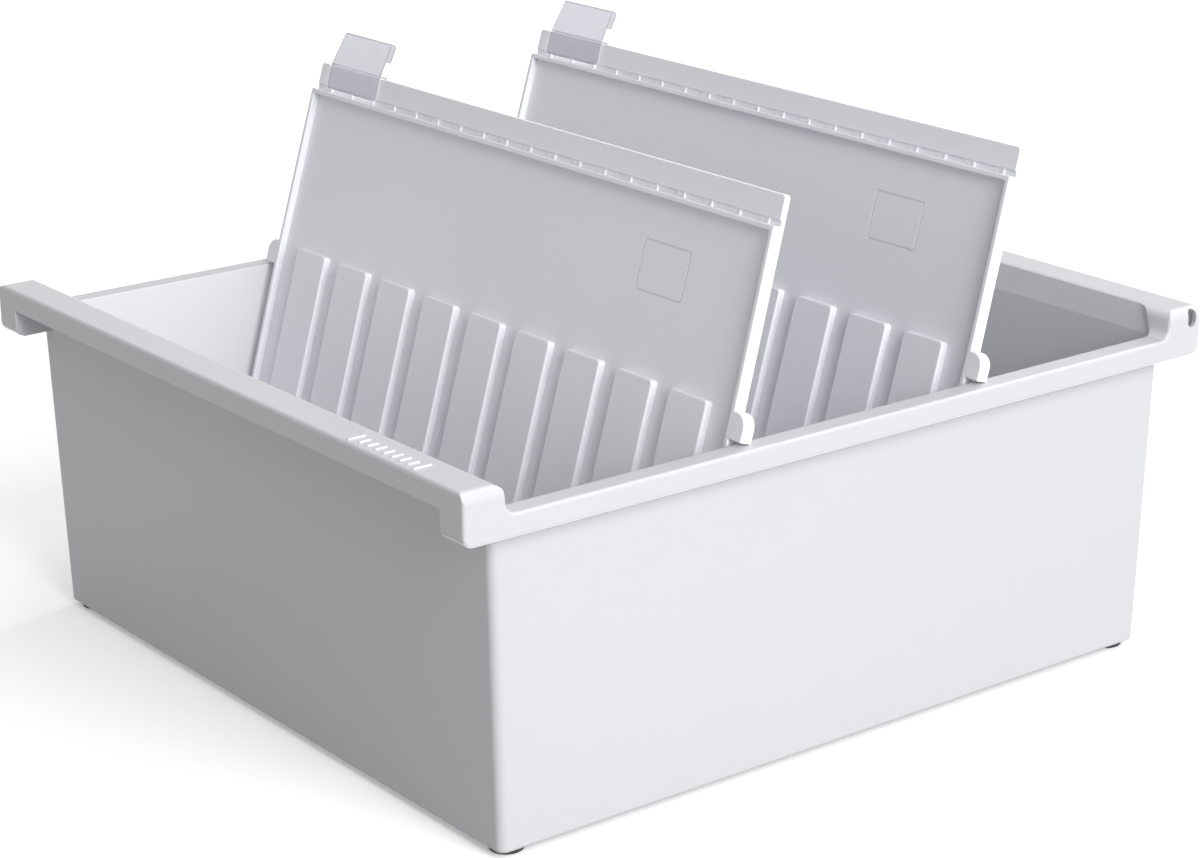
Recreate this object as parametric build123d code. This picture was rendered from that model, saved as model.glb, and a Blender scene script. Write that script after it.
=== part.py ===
from build123d import *
import math
import os

# Index card box for landscape A4 cards, with two leaning support plates and clear index tabs.
# Millimetres, +Z up, +X across the cards, -Y the front end. The origin is on the table under
# the middle of the tray.

# Cards
card_width = 297.0
card_play = 2.5  # free play at each side of a card on the floor

# Tub
wall = 2.2
floor_thick = 2.4
bottom_depth = 312.4
side_draft = 0.018  # outward lean of the side walls, mm per mm of height
end_draft = 0.029
tub_corner = 3.5
cavity_corner = 3.0
bottom_edge = 1.2
floor_edge = 1.5  # inner radius where the walls meet the floor

# Rim, heights above the tub's underside
side_reach = 6.57  # from the tub's side wall to the rim's outer face
end_reach = 14.93
rim_skin = 2.2
lip_bottom = 118.0
side_rim_top = 126.6
end_rim_top = 137.3
end_face_bottom = 128.75  # lower edge of each grip face, between the two legs of the lip
leg_width = 13.55
leg_corner = 2.0
end_corner = 4.0  # upper corners of the raised rims, seen from the front
lip_corner = 4.0
grip_corner = 1.5
rim_edge = 1.2
grip_edge = 0.6
hollow_corner = 1.5

# Mouth, which widens the tub between the raised rims
mouth_run = 2.8
mouth_corner = 12.0
slope_inset = 0.6  # the raised rims' ends start this far inside the end walls
slope_run = 1.0
slope_crown = 4.0
slope_fillet = 4.5

# Oval pin holes in both ends of the rear rim
pin_hole_width = 4.4
pin_hole_height = 7.2
pin_hole_setback = 4.7  # from the rim's rear face to the middle of the hole
pin_hole_drop = 4.4  # from the top of the rear rim to the middle of the hole

# Grip ribs on top of the front rim
grip_x = 111.0
grip_pitch = 4.9
grip_count = 9
grip_width = 1.3
grip_length = 5.0
grip_end_length = 7.5
grip_proud = 0.35
grip_setback = 5.7  # from the rim's front face to the middle of the ribs

# Toothed racks on the floor, which hold the plates' toes
rack_x = 104.0
rack_width = 14.0
rack_height = 3.2
rack_pitch = 8.75
rack_slot = 6.3
rack_end_gap = 6.0

# Feet
foot_radius = 6.4
foot_stand = 2.2
foot_seat = 0.4
foot_play = 0.15
foot_inset = 8.2
foot_edge = 0.8

# Support plates, heights above the middle of the round toe
plate_thick = 5.0
sheet_thick = 2.1
band_thick = 2.5
window_thick = 1.8
toe_play = 3.0  # free play at each end of a toe, between the side walls
waist_flare = 1.4  # a plate is this much wider at each side at the top of its lugs
top_taper = 1.8  # and narrower again by this much at its top
frame_rib = 2.0
plate_edge = 0.4
toe_rail = 8.0
frame_top = 203.2
window_height = 2.1
band_height = 9.1
band_corner = 1.5
toe_gap = 0.1
side_shift = 1.1  # both plates stand a little off the middle of the tray

# Lugs, which rest on the side rims
lug_bearing = 2.62  # how far each lug reaches over the side rim
lug_bottom = 127.5
lug_height = 10.0
lug_round = 5.0
lug_gap = 0.05

# Raised pads on the plates
pad_count = 9
pad_pitch = 30.95
pad_width = 21.2
pad_corner = 1.8
pad_edge = 0.7

# Ticks and stops in the window row under the band
tick_count = 19
tick_pitch = 15.49
tick_shift = 2.1  # the row of ticks stands this far right of the plate's middle
tick_width = 1.1
stop_width = 3.9
stop_proud = 0.35

# Engraved frame on each plate
mark_x = 92.6
mark_z = 176.0
mark_width = 26.8
mark_height = 19.2
mark_line = 0.6
mark_depth = 0.35
mark_corner = 1.2

# Places of the plates, counted in rack slots from the middle
front_slot_count = -10
rear_slot_count = 3

# Index tabs
tab_sheet = 0.6
tab_gap = 0.15
tab_width = 35.7
tab_taper = 1.2  # each side of the upper panel leans in by this much at the top
tab_corner = 2.0
tab_flap = 10.2
tab_hook = 2.1
tab_panel = 14.2
tab_panel_lean = 13.0
tab_fold = 0.7  # radius of the sheet's middle at its folds
tab_return = 7.0
tab_return_gap = 2.4
tab_place = -121.9  # middle of the tab along the band

# Sizes worked out from those above
bottom_width = card_width + 2 * (card_play + wall)
top_half_width = bottom_width / 2 + side_draft * side_rim_top
top_half_depth = bottom_depth / 2 + end_draft * side_rim_top
rim_width = 2 * (top_half_width + side_reach)
rim_depth = 2 * (top_half_depth + end_reach)
end_face_half = rim_width / 2 - leg_width
mouth_foot = top_half_depth - wall
mouth_top = mouth_foot + mouth_run
slope_foot = mouth_foot - slope_inset
slope_top = slope_foot + slope_run
floor_top = foot_stand + floor_thick
toe_radius = plate_thick / 2
pivot_z = floor_top + toe_gap + toe_radius
sheet_front = toe_radius - sheet_thick
band_front = toe_radius - band_thick
window_front = toe_radius - window_thick
band_bottom = frame_top + window_height
plate_top = band_bottom + band_height
lug_top = lug_bottom + lug_height
toe_half = card_width / 2 + card_play - toe_play
waist_half = toe_half + waist_flare
top_half = waist_half - top_taper
lug_half = top_half_width - wall + lug_bearing

# A plate leans back until the rear bottom corner of its lugs meets the side rims
lug_rise = foot_stand + side_rim_top + lug_gap - pivot_z
lug_angle = math.acos(lug_rise / math.hypot(lug_bottom, toe_radius))
lean = math.degrees(lug_angle - math.atan2(toe_radius, lug_bottom))


def tub_section(height, inset, corner):
    """Rounded rectangle of the tub, at a height above its underside."""
    width = bottom_width + 2 * (side_draft * height - inset)
    depth = bottom_depth + 2 * (end_draft * height - inset)
    return Pos(0, 0, foot_stand + height) * RectangleRounded(width, depth, corner)


def tub_block(low, high, inset, corner, edge):
    """Tapered block of the tub between two heights, with its lower edges rounded."""
    sections = [tub_section(low, inset, corner), tub_section(high, inset, corner)]
    block = loft(sections, ruled=True)
    return fillet(block.edges().group_by(Axis.Z)[0], edge)


def profile_face(points, rounds):
    """Face in the Y-Z plane through points, each with its own corner radius."""
    face = Plane.YZ * make_face(Polyline(*points, close=True))
    for (y, z), radius in zip(points, rounds):
        if radius > 0:
            corner = face.vertices().sort_by_distance((0, y, z))[0]
            face = fillet(corner, radius)
    return face


def side_view(inset, low, foot, crown, rounds):
    """Side view of the rim, raised at both ends, as a solid over the whole width."""
    half = rim_depth / 2 - inset
    bottom = foot_stand + low
    side = foot_stand + side_rim_top - inset
    top = foot_stand + end_rim_top - inset
    rear = [(half, bottom), (half, top), (crown, top), (foot, side)]
    front = [(-y, z) for y, z in reversed(rear)]
    outline = profile_face(rear + front, rounds + rounds[::-1])
    return extrude(outline, rim_width / 2 - inset, both=True)


def end_view(inset, low):
    """Front view of the rim with its upper corners rounded, as a solid over the whole depth."""
    bottom = foot_stand + low
    top = foot_stand + end_rim_top - inset
    plan = Pos(0, (bottom + top) / 2) * Rectangle(rim_width - 2 * inset, top - bottom)
    plan = fillet(plan.vertices().group_by(Axis.Y)[-1], end_corner - inset)
    return extrude(Plane.XZ * plan, rim_depth, both=True)


def rim_outside():
    rounds = [lip_corner, grip_corner, slope_crown, slope_fillet]
    block = side_view(0, lip_bottom, slope_foot, slope_top, rounds)
    loops = block.edges().filter_by(Axis.X, reverse=True)
    return fillet(loops, rim_edge) & end_view(0, lip_bottom)


def rim_hollow():
    """Space under the rim, apart from the inner walls of the four legs."""
    rounds = [0, hollow_corner, hollow_corner, 0]
    low = lip_bottom - rim_skin
    block = side_view(rim_skin, low, mouth_foot + rim_skin, mouth_top + rim_skin, rounds)
    walls = Box(2 * (end_face_half + rim_skin), rim_depth, 2 * end_rim_top)
    walls = walls - Box(2 * end_face_half, rim_depth, 2 * end_rim_top)
    walls = walls - Box(rim_width, 2 * top_half_depth - wall, 2 * end_rim_top)
    return (block & end_view(rim_skin, low)) - Pos(0, 0, end_rim_top) * walls


def grip_faces(tray):
    """Open both ends of the lip under the grip faces, between the legs."""
    low = foot_stand + lip_bottom
    high = foot_stand + end_face_bottom
    opening = Pos(0, (low + high) / 2) * Rectangle(2 * end_face_half, high - low)
    below = Pos(0, low - leg_corner / 2) * Rectangle(rim_width, leg_corner)
    plan = opening + below
    corners = plan.vertices().filter_by_position(Axis.X, -end_face_half - 1, end_face_half + 1)
    plan = fillet(corners.group_by(Axis.Y)[0], leg_corner)
    y = (rim_depth - rim_skin) / 2
    block = extrude(Plane.XZ * plan, rim_skin, both=True)
    tray = tray - [Pos(0, side * y, 0) * block for side in (-1, 1)]
    edges = tray.edges().filter_by(Axis.X).filter_by_position(Axis.Z, high - 0.01, high + 0.01)
    edges = edges.sort_by(Axis.Y)
    return fillet(ShapeList([edges[0], edges[-1]]), grip_edge)


def pin_holes():
    """Oval holes through the end skins of the rear rim."""
    y = rim_depth / 2 - pin_hole_setback
    z = foot_stand + end_rim_top - pin_hole_drop
    slot = Plane.YZ * Pos(y, z) * SlotOverall(pin_hole_height, pin_hole_width, rotation=90)
    pin = extrude(slot, 2 * rim_skin, both=True)
    return [Pos(side * rim_width / 2, 0, 0) * pin for side in (-1, 1)]


def rack_teeth(x):
    """Row of teeth on the floor, with a slot at every pitch from the middle."""
    reach = bottom_depth / 2 - wall - rack_end_gap
    count = int(reach / rack_pitch)
    block = Box(rack_width, rack_pitch - rack_slot, rack_height)
    z = floor_top + rack_height / 2
    return [Pos(x, (i + 0.5) * rack_pitch, z) * block for i in range(-count, count)]


def grip_ribs():
    """Short raised ribs on the front rim, between two longer ones."""
    y = grip_setback - rim_depth / 2
    z = foot_stand + end_rim_top - grip_proud
    ribs = []
    for i in range(grip_count):
        x = grip_x + (i - (grip_count - 1) / 2) * grip_pitch
        length = grip_end_length if i in (0, grip_count - 1) else grip_length
        plan = Pos(x, y, z) * SlotOverall(length, grip_width, rotation=90)
        ribs.append(extrude(plan, 2 * grip_proud))
    return ribs


def foot_places():
    x = bottom_width / 2 - foot_inset
    y = bottom_depth / 2 - foot_inset
    return {
        "front_left_foot": (-x, -y),
        "front_right_foot": (x, -y),
        "rear_left_foot": (-x, y),
        "rear_right_foot": (x, y),
    }


def foot_seats():
    seat = extrude(Circle(foot_radius + foot_play), foot_seat)
    return [Pos(x, y, foot_stand) * seat for x, y in foot_places().values()]


def mouth():
    """Space between the raised rims, over the tub's cavity."""
    height = end_rim_top + rim_edge
    width = bottom_width + 2 * (side_draft * height - wall)
    upper = Pos(0, 0, foot_stand + height) * RectangleRounded(width, 2 * mouth_top, mouth_corner)
    return loft([tub_section(side_rim_top, wall, cavity_corner), upper], ruled=True)


def make_tray():
    """One moulded tub with its rim."""
    tub = tub_block(0, side_rim_top, 0, tub_corner, bottom_edge)
    cavity = tub_block(floor_thick, side_rim_top, wall, cavity_corner, floor_edge)
    tray = rim_outside() + tub - (rim_hollow() - tub) - cavity - mouth()
    tray = grip_faces(tray) - pin_holes() - foot_seats()
    return tray + rack_teeth(-rack_x) + rack_teeth(rack_x) + grip_ribs()


def make_foot(x, y):
    disc = Pos(x, y) * extrude(Circle(foot_radius), foot_stand + foot_seat)
    return fillet(disc.edges().group_by(Axis.Z)[0], foot_edge)


def plate_outline(low, high, inset):
    """Outline of a plate between two heights, drawn in by an inset at its sides."""
    def half(z):
        if z < lug_top:
            return toe_half + (waist_half - toe_half) * z / lug_top - inset
        return waist_half + (top_half - waist_half) * (z - lug_top) / (plate_top - lug_top) - inset

    right = [(half(low), low), (half(lug_top), lug_top), (half(high), high)]
    left = [(-x, z) for x, z in reversed(right)]
    return make_face(Polyline(*right, *left, close=True))


def slab(plan, front, rear=toe_radius):
    """Flat plan of width and height, made solid from one depth to another."""
    return extrude(Plane.XZ * plan, -(rear - front)).moved(Pos(0, front, 0))


def plate_block(low, high, width, x, front):
    """Rectangle between two heights, solid from a depth to the plate's rear."""
    return slab(Pos(x, (low + high) / 2) * Rectangle(width, high - low), front)


def soften(block, edge):
    """Round the front edges of a block, apart from those at the toe."""
    front = block.edges().group_by(Axis.Y)[0]
    return fillet(front.filter_by_position(Axis.Z, toe_radius, plate_top), edge)


def plate_lugs():
    inner = waist_half - frame_rib / 2
    width = lug_half - inner
    lugs = []
    for side in (-1, 1):
        plan = Pos(side * (inner + width / 2), lug_bottom + lug_height / 2)
        plan = plan * Rectangle(width, lug_height)
        corner = plan.vertices().sort_by_distance((side * lug_half, lug_top, 0))[0]
        lugs.append(soften(slab(fillet(corner, lug_round), -toe_radius), plate_edge))
    return lugs


def plate_pads():
    """Row of upright pads in the lower half, level with the frame."""
    low = toe_rail - 2 * pad_edge
    plan = Pos(0, (low + lug_top) / 2) * Rectangle(pad_width, lug_top - low)
    plan = fillet(plan.vertices().group_by(Axis.Y)[-1], pad_corner)
    pad = soften(slab(plan, -toe_radius, sheet_front), pad_edge)
    middle = (pad_count - 1) / 2
    return [Pos((i - middle) * pad_pitch, 0, 0) * pad for i in range(pad_count)]


def plate_ticks():
    """Ticks in the window row, and the stop block at the right of each bay."""
    ticks = []
    for i in range(tick_count):
        x = tick_shift + (i - (tick_count - 1) / 2) * tick_pitch
        ticks.append(plate_block(frame_top, band_bottom, tick_width, x, band_front))
        if i > 0:
            stop_x = x - (tick_width + stop_width) / 2
            ticks.append(plate_block(frame_top, band_bottom, stop_width, stop_x, window_front - stop_proud))
    return ticks


def plate_mark():
    """Bare line around a field of the plate's panel."""
    outer = RectangleRounded(mark_width, mark_height, mark_corner)
    inner = RectangleRounded(mark_width - 2 * mark_line, mark_height - 2 * mark_line,
                             mark_corner / 2)
    return slab(Pos(mark_x, mark_z) * (outer - inner), -toe_radius, sheet_front + mark_depth)


def make_plate():
    """Support plate, upright, with the middle of its round toe at the origin."""
    sheet = slab(plate_outline(0, frame_top, 0), sheet_front) - plate_mark()
    inner = plate_outline(toe_rail, frame_top - frame_rib, frame_rib)
    frame = soften(slab(plate_outline(0, frame_top, 0) - inner, -toe_radius), plate_edge)
    window = slab(plate_outline(frame_top, band_bottom, 0), window_front)
    band_plan = plate_outline(band_bottom, plate_top, 0)
    band_plan = fillet(band_plan.vertices().group_by(Axis.Y)[-1], band_corner)
    band = soften(slab(band_plan, band_front), plate_edge)
    toe = Rot(0, 90, 0) * Cylinder(toe_radius, 2 * toe_half)
    pieces = [frame, window, band, toe] + plate_lugs() + plate_pads() + plate_ticks()
    return sheet + pieces


def strip(points):
    """Cross-section of the sheet along points in the Y-Z plane."""
    line = FilletPolyline(*points, radius=tab_fold)
    return make_face(offset(line, amount=tab_sheet / 2, kind=Kind.INTERSECTION, side=Side.BOTH))


def tab_section():
    """Side view of a tab: a flap and a hook clip over the band, a folded panel stands above."""
    clear = tab_gap + tab_sheet / 2
    front = band_front - clear
    ledge = plate_top + clear
    behind = toe_radius + clear
    lean_back = math.radians(tab_panel_lean)
    rise = math.cos(lean_back)
    run = math.sin(lean_back)
    top = (front + tab_panel * run, ledge + tab_panel * rise)
    fold = (top[0] + tab_return_gap * rise, top[1] - tab_return_gap * run)
    end = (fold[0] - tab_return * run, fold[1] - tab_return * rise)
    panel = strip([(front, ledge - tab_flap), (front, ledge), top, fold, end])
    hook = strip([(front, ledge), (behind, ledge), (behind, ledge - tab_hook)])
    return Plane.YZ * (panel + hook)


def tab_outline():
    """Front view of a tab."""
    ledge = plate_top + tab_gap + tab_sheet / 2
    foot = ledge - tab_flap
    top = ledge + tab_panel + tab_sheet
    half = tab_width / 2
    flap = Pos(0, (foot + ledge) / 2) * Rectangle(tab_width, ledge - foot)
    flap = fillet(flap.vertices().group_by(Axis.Y)[0], tab_corner)
    points = [(-half, ledge), (half, ledge), (half - tab_taper, top), (tab_taper - half, top)]
    return flap + make_face(Polyline(*points, close=True))


def make_tab():
    """Index tab in the plate's own frame, clipped over the band."""
    sheet = extrude(tab_section(), tab_width / 2, both=True)
    return Pos(tab_place, 0, 0) * (sheet & slab(tab_outline(), -plate_thick, 2 * plate_thick))


def place_plate(shape, slot):
    """Stand a shape of the plate's frame in its rack slot, leaning back."""
    return Pos(side_shift, slot * rack_pitch, pivot_z) * Rot(-lean, 0, 0) * shape


def make_parts():
    parts = {"tray": make_tray()}
    for name, (x, y) in foot_places().items():
        parts[name] = make_foot(x, y)
    plate = make_plate()
    tab = make_tab()
    for name, slot in (("front", front_slot_count), ("rear", rear_slot_count)):
        parts[name + "_plate"] = place_plate(plate, slot)
        parts[name + "_tab"] = place_plate(tab, slot)
    return parts


os.makedirs("parts", exist_ok=True)
for name, solid in make_parts().items():
    print(name, solid.is_valid, round(solid.volume), solid.bounding_box())
    export_step(solid, f"parts/{name}.step")
print("lean", lean)
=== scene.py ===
import math

import bmesh
import bpy
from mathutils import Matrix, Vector

# index card box: light grey moulded tray, two leaning plates, clear tabs. metres, z up, front at -y
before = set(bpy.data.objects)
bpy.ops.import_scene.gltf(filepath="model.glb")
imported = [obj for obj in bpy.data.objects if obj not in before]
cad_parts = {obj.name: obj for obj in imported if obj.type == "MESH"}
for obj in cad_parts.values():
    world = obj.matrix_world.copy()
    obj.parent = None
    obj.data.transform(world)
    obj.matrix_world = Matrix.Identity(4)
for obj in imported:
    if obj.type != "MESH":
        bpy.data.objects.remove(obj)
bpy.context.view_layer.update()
print("frame loaded")


# small helpers

def linkObject(name, data):
    obj = bpy.data.objects.new(name, data)
    bpy.context.scene.collection.objects.link(obj)
    return obj


def newMaterial(name):
    material = bpy.data.materials.new(name)
    material.use_nodes = True
    nodes = material.node_tree.nodes
    return material, nodes, material.node_tree.links, nodes["Principled BSDF"]


def dress(obj, material):
    obj.data.materials.clear()
    obj.data.materials.append(material)


def dressPieces(names, material):
    for name in names:
        dress(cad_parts[name], material)


def plug(links, socket, value):  # links another node's output, sets a plain value
    if isinstance(value, bpy.types.NodeSocket):
        links.new(value, socket)
    else:
        socket.default_value = value


def mathNode(nodes, links, operation, *values):
    node = nodes.new("ShaderNodeMath")
    node.operation = operation
    for socket, value in zip(node.inputs, values):
        plug(links, socket, value)
    return node.outputs[0]


def vectorNode(nodes, operation):
    node = nodes.new("ShaderNodeVectorMath")
    node.operation = operation
    return node


def mixColors(nodes, links, factor, first, second):
    node = nodes.new("ShaderNodeMix")
    node.data_type = "RGBA"
    plug(links, node.inputs["Factor"], factor)
    plug(links, node.inputs["A"], first)
    plug(links, node.inputs["B"], second)
    return node.outputs["Result"]


def objectCoords(nodes):
    return nodes.new("ShaderNodeTexCoord").outputs["Object"]


def splitVector(nodes, links, vector):
    node = nodes.new("ShaderNodeSeparateXYZ")
    links.new(vector, node.inputs[0])
    return node.outputs


def noiseNode(nodes, links, coords, scale, detail, roughness=0.5):
    node = nodes.new("ShaderNodeTexNoise")
    links.new(coords, node.inputs["Vector"])
    plug(links, node.inputs["Scale"], scale)
    node.inputs["Detail"].default_value = detail
    node.inputs["Roughness"].default_value = roughness
    return node.outputs["Fac"]


def bumpNode(nodes, links, height, distance, normal=None):
    node = nodes.new("ShaderNodeBump")
    node.inputs["Strength"].default_value = 1.0
    links.new(height, node.inputs["Height"])
    plug(links, node.inputs["Distance"], distance)
    if normal is not None:
        links.new(normal, node.inputs["Normal"])
    return node.outputs["Normal"]


def backdropRays(nodes, links):  # rays that show the backdrop, seen plainly, mirrored or through a tab
    path = nodes.new("ShaderNodeLightPath").outputs
    seen = mathNode(nodes, links, "MAXIMUM", path["Is Camera Ray"], path["Is Glossy Ray"])
    return mathNode(nodes, links, "MAXIMUM", seen, path["Is Transmission Ray"])


# moulded plastic: fine spark grain, slow waves from cooling, rubbed edges with painted highlights,
# painted light on inner faces

mouldedEffect = {
    "grainDetail": 3.0,
    "grainRoughness": 0.6,
    "waveDetail": 1.0,
    "toneScale": 9.0,  # faint patches of the colour
    "toneDetail": 3.0,
    "fleckScale": 260.0,  # breaks up the rubbed edges and their painted highlights
    "fleckDetail": 2.0,
    "edgeSamples": 6,
    "edgeGain": 3.0,
    "downTurn": -0.4,  # a lip's lower edge has a normal with less z than this
    "inwardTurn": -0.05,  # on inner faces, x and y of place times normal add up to less
    "roughSpread": 0.12,
    "edgePolish": 0.15,  # rubbed edges and painted highlights are this much smoother
}

mouldedInputs = [
    # pale colour of rubbed edges and painted highlights
    ("Color", "Color", (0.6, 0.6, 0.6, 1)),
    ("Wear And Highlight Color", "Color", (0.8, 0.8, 0.8, 1)),
    ("Roughness", "Float", 0.4),
    ("Grain Scale", "Float", 1800.0),
    ("Grain Depth", "Float", 0.00003),
    ("Wave Scale", "Float", 14.0),
    ("Wave Depth", "Float", 0.0004),
    ("Tone Spread", "Float", 0.03),
    ("Edge Radius", "Float", 0.0008),
    ("Edge Amount", "Float", 0.5),
    ("Pale Tip Height", "Float", 1.0),  # all that is higher is painted pale
    ("Lip Height", "Float", 1.0),  # lower edges above this get a painted highlight
    ("Inside Painted Light", "Float", 0.0),  # painted light: how much paler the inner faces are painted
]

mouldedOutputs = [("Color", "Color"), ("Roughness", "Float"), ("Normal", "Vector")]


def newGroup(name, inputs, outputs):
    group = bpy.data.node_groups.new(name, "ShaderNodeTree")
    for label, kind, value in inputs:
        socket = group.interface.new_socket(label, in_out="INPUT", socket_type="NodeSocket" + kind)
        socket.default_value = value
    for label, kind in outputs:
        group.interface.new_socket(label, in_out="OUTPUT", socket_type="NodeSocket" + kind)
    return group


def makeMouldedGroup(effect):
    group = newGroup("mouldedPlastic", mouldedInputs, mouldedOutputs)
    nodes = group.nodes
    links = group.links
    given = nodes.new("NodeGroupInput").outputs
    result = nodes.new("NodeGroupOutput").inputs
    coords = objectCoords(nodes)
    grain = noiseNode(nodes, links, coords, given["Grain Scale"],
                      effect["grainDetail"], effect["grainRoughness"])
    waves = noiseNode(nodes, links, coords, given["Wave Scale"], effect["waveDetail"])
    tone = noiseNode(nodes, links, coords, effect["toneScale"], effect["toneDetail"])
    fleck = noiseNode(nodes, links, coords, effect["fleckScale"], effect["fleckDetail"])

    rounded = nodes.new("ShaderNodeBevel")
    rounded.samples = effect["edgeSamples"]
    links.new(given["Edge Radius"], rounded.inputs["Radius"])
    wavy = bumpNode(nodes, links, waves, given["Wave Depth"], rounded.outputs["Normal"])
    grainy = bumpNode(nodes, links, grain, given["Grain Depth"], wavy)
    links.new(grainy, result["Normal"])

    # edges are where the rounded normal leaves the true one
    trueNormal = nodes.new("ShaderNodeNewGeometry").outputs["Normal"]
    compare = vectorNode(nodes, "DOT_PRODUCT")
    links.new(rounded.outputs["Normal"], compare.inputs[0])
    links.new(trueNormal, compare.inputs[1])
    turned = mathNode(nodes, links, "SUBTRACT", 1.0, compare.outputs["Value"])
    edge = mathNode(nodes, links, "MULTIPLY", turned, effect["edgeGain"])
    edge = mathNode(nodes, links, "MULTIPLY", edge, fleck)
    edge = mathNode(nodes, links, "MULTIPLY", edge, given["Edge Amount"])

    # raised tips are painted pale, and the lips' lower edges get a painted highlight
    place = splitVector(nodes, links, coords)
    facing = splitVector(nodes, links, trueNormal)
    tips = mathNode(nodes, links, "GREATER_THAN", place["Z"], given["Pale Tip Height"])
    high = mathNode(nodes, links, "GREATER_THAN", place["Z"], given["Lip Height"])
    down = mathNode(nodes, links, "LESS_THAN", facing["Z"], effect["downTurn"])
    lipHighlight = mathNode(nodes, links, "MULTIPLY", high, down)
    edge = mathNode(nodes, links, "MAXIMUM", edge, tips)
    edge = mathNode(nodes, links, "MAXIMUM", edge, lipHighlight)
    wearAndHighlight = mathNode(nodes, links, "MINIMUM", edge, 1.0)

    # painted light: faces that look at the middle are painted paler than the outside, as if more light
    # fell on them
    across = mathNode(nodes, links, "MULTIPLY", place["X"], facing["X"])
    outward = mathNode(nodes, links, "MULTIPLY_ADD", place["Y"], facing["Y"], across)
    paintedLightFaces = mathNode(nodes, links, "LESS_THAN", outward, effect["inwardTurn"])
    shift = mathNode(nodes, links, "SUBTRACT", tone, 0.5)
    shift = mathNode(nodes, links, "MULTIPLY", shift, given["Tone Spread"])
    # random tone, then painted light on the inner faces
    toneAndPaintedLight = mathNode(nodes, links, "ADD", shift, 1.0)
    toneAndPaintedLight = mathNode(nodes, links, "MULTIPLY_ADD", paintedLightFaces, given["Inside Painted Light"], toneAndPaintedLight)
    tint = vectorNode(nodes, "SCALE")
    links.new(given["Color"], tint.inputs[0])
    links.new(toneAndPaintedLight, tint.inputs["Scale"])
    # rubbed edges and painted highlights take the pale colour
    color = mixColors(nodes, links, wearAndHighlight, tint.outputs["Vector"], given["Wear And Highlight Color"])
    links.new(color, result["Color"])

    spread = effect["roughSpread"]
    rough = mathNode(nodes, links, "MULTIPLY_ADD", tone, spread, -spread / 2)
    rough = mathNode(nodes, links, "ADD", given["Roughness"], rough)
    polish = mathNode(nodes, links, "MULTIPLY", wearAndHighlight, effect["edgePolish"])
    rough = mathNode(nodes, links, "SUBTRACT", rough, polish)
    links.new(rough, result["Roughness"])
    return group


mouldedGroup = makeMouldedGroup(mouldedEffect)


def mouldedMaterial(name, look):
    material, nodes, links, shader = newMaterial(name)
    surface = nodes.new("ShaderNodeGroup")
    surface.node_tree = mouldedGroup
    for label, value in look["surface"].items():
        surface.inputs[label].default_value = value
    links.new(surface.outputs["Color"], shader.inputs["Base Color"])
    links.new(surface.outputs["Roughness"], shader.inputs["Roughness"])
    links.new(surface.outputs["Normal"], shader.inputs["Normal"])
    shader.inputs["IOR"].default_value = look["ior"]
    shader.inputs["Specular IOR Level"].default_value = look["gloss"]
    return material


# tray

trayLook = {
    "ior": 1.5,
    "gloss": 0.5,
    "surface": {
        # the plates' plastic, painted darker here as a shaded copy
        "Color": (0.533, 0.537, 0.558, 1),
        # pale colour of rubbed edges and painted highlights
        "Wear And Highlight Color": (0.88, 0.88, 0.89, 1),
        "Roughness": 0.36,
        "Grain Scale": 1500.0,
        "Grain Depth": 0.00002,
        "Wave Scale": 12.0,
        "Wave Depth": 0.0003,
        "Tone Spread": 0.03,
        "Edge Radius": 0.0008,
        "Edge Amount": 1.3,
        "Pale Tip Height": 0.1396,  # the tips of the grip ribs
        # painted highlight on lower edges above this height
        "Lip Height": 0.119,
        # painted light on the inner faces
        "Inside Painted Light": 0.2,
    },
}
dressPieces(["tray"], mouldedMaterial("trayPlasticPaintedShade", trayLook))
print("tray finished")

# plates

plateLook = {
    "ior": 1.5,
    "gloss": 0.5,
    "surface": {
        # the tray's plastic, painted paler here as a lit copy
        "Color": (0.802, 0.806, 0.846, 1),
        "Wear And Highlight Color": (0.88, 0.88, 0.90, 1),
        "Roughness": 0.42,
        "Grain Scale": 1500.0,
        "Grain Depth": 0.00003,
        "Wave Scale": 18.0,
        "Wave Depth": 0.0002,
        "Tone Spread": 0.03,
        "Edge Radius": 0.00025,
        "Edge Amount": 0.9,
    },
}
dressPieces(["front_plate", "rear_plate"], mouldedMaterial("platePlasticPaintedLight", plateLook))
print("plates finished")

# feet

footLook = {
    "color": (0.018, 0.018, 0.02, 1),
    "dustColor": (0.10, 0.10, 0.10, 1),
    "dustScale": 220.0,
    "dustDetail": 3.0,
    "dustAmount": 0.35,
    "roughness": 0.75,
    "grainScale": 900.0,
    "grainDetail": 4.0,
    "grainDepth": 0.00008,
}


def rubberMaterial(look):
    material, nodes, links, shader = newMaterial("footRubber")
    coords = objectCoords(nodes)
    grain = noiseNode(nodes, links, coords, look["grainScale"], look["grainDetail"])
    links.new(bumpNode(nodes, links, grain, look["grainDepth"]), shader.inputs["Normal"])
    dust = noiseNode(nodes, links, coords, look["dustScale"], look["dustDetail"])
    dust = mathNode(nodes, links, "MULTIPLY", dust, look["dustAmount"])
    color = mixColors(nodes, links, dust, look["color"], look["dustColor"])
    links.new(color, shader.inputs["Base Color"])
    shader.inputs["Roughness"].default_value = look["roughness"]
    return material


feet = ["front_left_foot", "front_right_foot", "rear_left_foot", "rear_right_foot"]
dressPieces(feet, rubberMaterial(footLook))
print("feet finished")

# clear tabs

tabLook = {
    "color": (0.25, 0.252, 0.29, 1),  # seen straight on
    "turnedShadeColor": (0.06, 0.06, 0.09, 1),  # painted shade where the sheet turns away
    "edgeBlend": 0.25,
    "innerColor": (0.99, 0.99, 0.99, 1),  # for rays that don't come from the camera
    "solidDepth": 1.5,  # rays that have bounced more often go straight on
    "gathered": 0.5,  # how much of the light that the band scatters is bent by the tab
    "roughness": 0.03,
    "smearScale": 90.0,
    "smearDetail": 3.0,
    "smearRoughness": 0.08,  # added where fingers have smeared the sheet
    "ior": 1.49,
}


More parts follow.
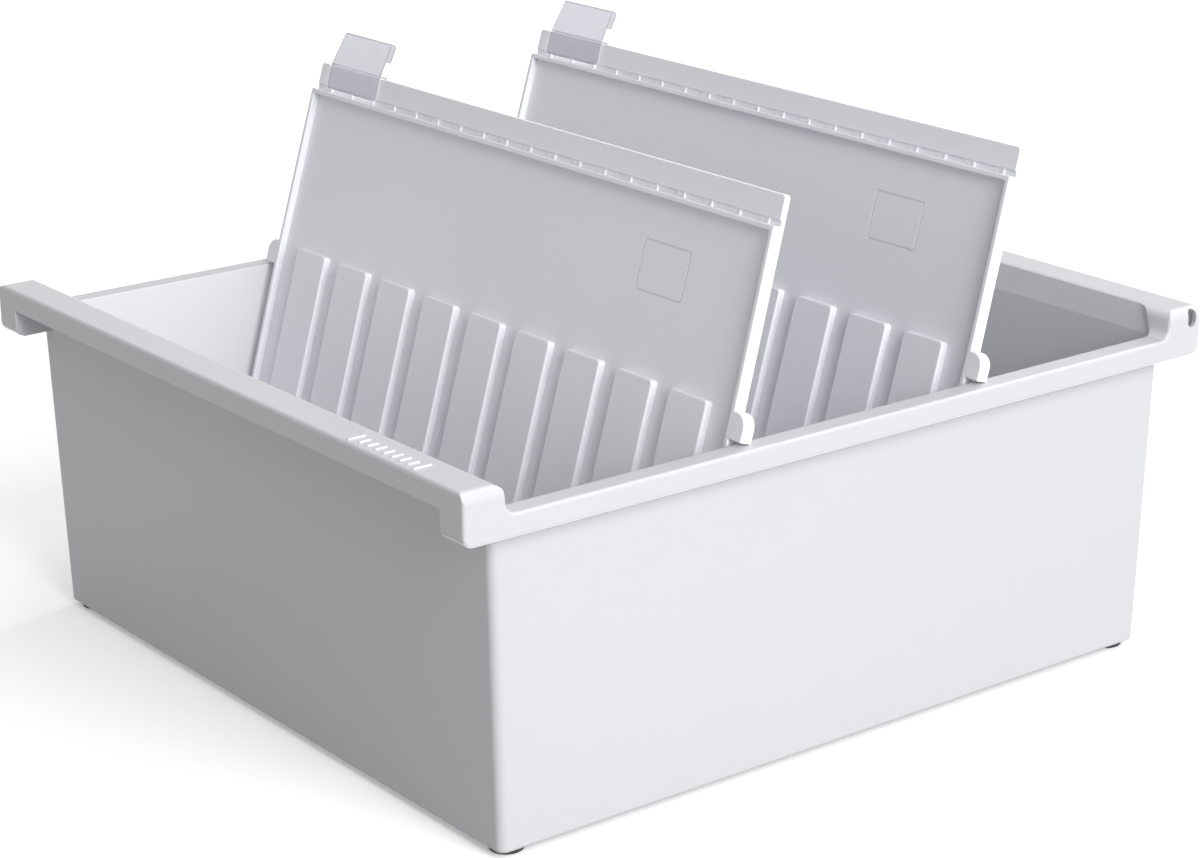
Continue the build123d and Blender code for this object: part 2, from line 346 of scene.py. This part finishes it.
def clearMaterial(look):
    material, nodes, links, shader = newMaterial("clearTab")
    smear = noiseNode(nodes, links, objectCoords(nodes), look["smearScale"], look["smearDetail"])
    rough = mathNode(nodes, links, "MULTIPLY_ADD", smear, look["smearRoughness"], look["roughness"])
    links.new(rough, shader.inputs["Roughness"])
    facing = nodes.new("ShaderNodeLayerWeight")
    facing.inputs["Blend"].default_value = look["edgeBlend"]
    # painted shade: darker where the sheet turns away from the camera
    seen = mixColors(nodes, links, facing.outputs["Facing"], look["color"], look["turnedShadeColor"])
    path = nodes.new("ShaderNodeLightPath").outputs
    color = mixColors(nodes, links, path["Is Camera Ray"], look["innerColor"], seen)
    links.new(color, shader.inputs["Base Color"])
    shader.inputs["Transmission Weight"].default_value = 1.0
    shader.inputs["IOR"].default_value = look["ior"]
    # lamplight, and rays that have crossed one wall of the tab, go straight on
    unlit = mathNode(nodes, links, "SUBTRACT", 1.0, path["Is Shadow Ray"])
    fresh = mathNode(nodes, links, "LESS_THAN", path["Ray Depth"], look["solidDepth"])
    gathered = mathNode(nodes, links, "MULTIPLY", path["Is Diffuse Ray"], look["gathered"])
    bent = mathNode(nodes, links, "MAXIMUM", fresh, gathered)
    links.new(mathNode(nodes, links, "MULTIPLY", unlit, bent), shader.inputs["Alpha"])
    return material


dressPieces(["front_tab", "rear_tab"], clearMaterial(tabLook))
print("tabs finished")

# floor

floorLook = {
    "half": 4.0,
    "drop": 0.0003,  # how far it lies below the feet
    "color": (0.32, 0.32, 0.32, 1),  # what the box is lit by
    "seenColor": (0.88, 0.88, 0.88, 1),
    "roughness": 0.9,
    "gloss": 0.2,
    "glowColor": (1, 1, 1, 1),
    "nearGlow": 0.30,
    "farGlow": 1.0,
    "nearReach": 0.35,
    "farReach": 2.0,
}


def floorMaterial(look):
    material, nodes, links, shader = newMaterial("paleFloor")
    shader.inputs["Roughness"].default_value = look["roughness"]
    shader.inputs["Specular IOR Level"].default_value = look["gloss"]
    seen = backdropRays(nodes, links)
    color = mixColors(nodes, links, seen, look["color"], look["seenColor"])
    links.new(color, shader.inputs["Base Color"])
    # the floor glows more and more towards the white backdrop
    away = vectorNode(nodes, "LENGTH")
    links.new(objectCoords(nodes), away.inputs[0])
    reach = nodes.new("ShaderNodeMapRange")
    reach.interpolation_type = "SMOOTHSTEP"
    links.new(away.outputs["Value"], reach.inputs["Value"])
    reach.inputs["From Min"].default_value = look["nearReach"]
    reach.inputs["From Max"].default_value = look["farReach"]
    reach.inputs["To Min"].default_value = look["nearGlow"]
    reach.inputs["To Max"].default_value = look["farGlow"]
    glow = mathNode(nodes, links, "MULTIPLY", seen, reach.outputs["Result"])
    links.new(glow, shader.inputs["Emission Strength"])
    shader.inputs["Emission Color"].default_value = look["glowColor"]
    return material


def makeFloor(look):
    mesh = bpy.data.meshes.new("floor")
    shape = bmesh.new()
    bmesh.ops.create_grid(shape, x_segments=1, y_segments=1, size=look["half"])
    bmesh.ops.translate(shape, verts=shape.verts, vec=(0, 0, -look["drop"]))
    shape.to_mesh(mesh)
    shape.free()
    floor = linkObject("floor", mesh)
    dress(floor, floorMaterial(look))


makeFloor(floorLook)

# light

worldLook = {
    "color": (1, 1, 1, 1),
    "fill": 0.36,  # what the box is lit by
    "seen": 1.0,
}


def makeWorld(look):
    world = bpy.data.worlds.new("studio")
    bpy.context.scene.world = world
    world.use_nodes = True
    nodes = world.node_tree.nodes
    links = world.node_tree.links
    background = nodes["Background"]
    background.inputs["Color"].default_value = look["color"]
    seen = backdropRays(nodes, links)
    strength = mathNode(nodes, links, "MULTIPLY_ADD", seen, look["seen"] - look["fill"], look["fill"])
    links.new(strength, background.inputs["Strength"])


makeWorld(worldLook)

# the key stands right of the box and high, so the front end stays in soft shade
lamps = {
    "key": {"place": (2.2, -0.2, 1.5), "size": 1.6, "watts": 50},
    "keyLow": {"place": (2.4, -0.1, 0.7), "size": 1.2, "watts": 28},
    "topBack": {"place": (0.0, 1.6, 2.0), "size": 1.6, "watts": 28},
    "frontLow": {"place": (-0.3, -2.5, 0.5), "size": 1.4, "watts": 5},
}
lampAim = Vector((0, 0, 0.1))


def makeLamp(name, look):
    lamp = bpy.data.lights.new(name, "AREA")
    lamp.shape = "SQUARE"
    lamp.size = look["size"]
    lamp.energy = look["watts"]
    obj = linkObject(name, lamp)
    obj.location = look["place"]
    obj.rotation_euler = (lampAim - obj.location).to_track_quat("-Z", "Y").to_euler()


for name, look in lamps.items():
    makeLamp(name, look)

# camera

cameraLook = {
    "place": (0.92358, -0.70168, 0.46946),
    "turn": (71.598, 0.434, 52.434),  # degrees
    "lens": 91.63,
    "sensor": 36.0,
    "farthest": 50.0,
}


def makeCamera(look):
    data = bpy.data.cameras.new("camera")
    data.lens = look["lens"]
    data.sensor_width = look["sensor"]
    data.sensor_fit = "HORIZONTAL"
    data.clip_end = look["farthest"]
    camera = linkObject("camera", data)
    camera.location = look["place"]
    camera.rotation_euler = [math.radians(angle) for angle in look["turn"]]
    bpy.context.scene.camera = camera


makeCamera(cameraLook)
bpy.context.scene.view_settings.view_transform = "Standard"
print("floor, light and camera set")
